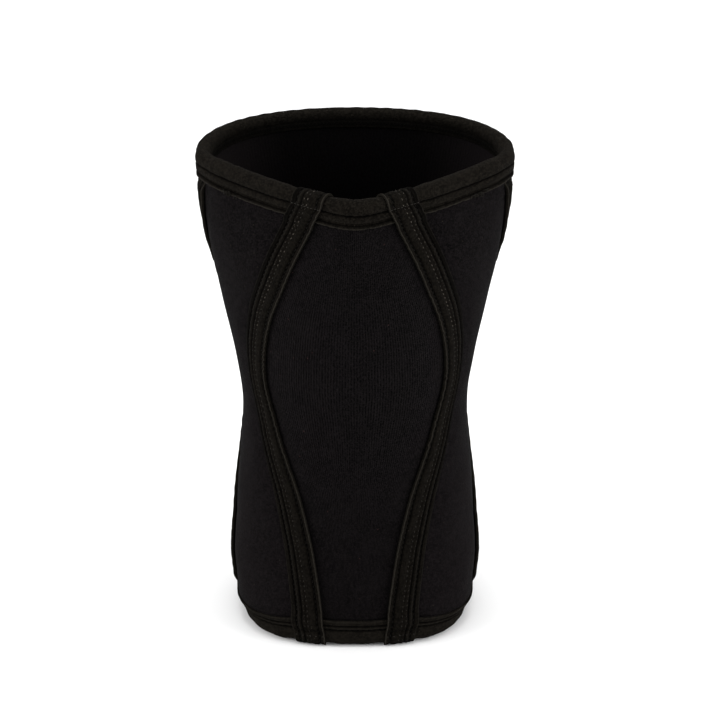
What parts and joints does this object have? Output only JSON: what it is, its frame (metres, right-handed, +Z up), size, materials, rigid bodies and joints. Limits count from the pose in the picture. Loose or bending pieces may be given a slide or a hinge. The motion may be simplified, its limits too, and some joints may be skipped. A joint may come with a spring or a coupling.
{
  "type": "knee sleeve",
  "caption": "Pull-on padded knee sleeve, flared at the thigh, with a ribbed knee-cap panel, taped seams and bound rims; it warms and supports the knee.",
  "frame": {"origin": "on the floor under the middle of the sleeve's box", "axes": "+Z up the leg from the calf end to the thigh end, -Y out of the knee-cap panel, +X to the right seen from the front"},
  "size_m": [0.1776, 0.159, 0.288],
  "materials": {
    "ribbed_knit": "matt fine vertical ribs over padding",
    "plush_knit": "short brushed pile over padding",
    "seam_tape": "matt twill tape, stitched",
    "rim_binding": "matt folded cloth binding, stitched"
  },
  "bodies": {
    "root": {"front_panel": "ribbed_knit", "side_panel_right": "plush_knit", "side_panel_left": "plush_knit", "back_panel": "plush_knit", "front_seam_tape_right": "seam_tape", "front_seam_tape_left": "seam_tape", "rear_seam_tape_right": "seam_tape", "rear_seam_tape_left": "seam_tape", "top_binding": "rim_binding", "bottom_binding": "rim_binding"}
  },
  "joints": []
}
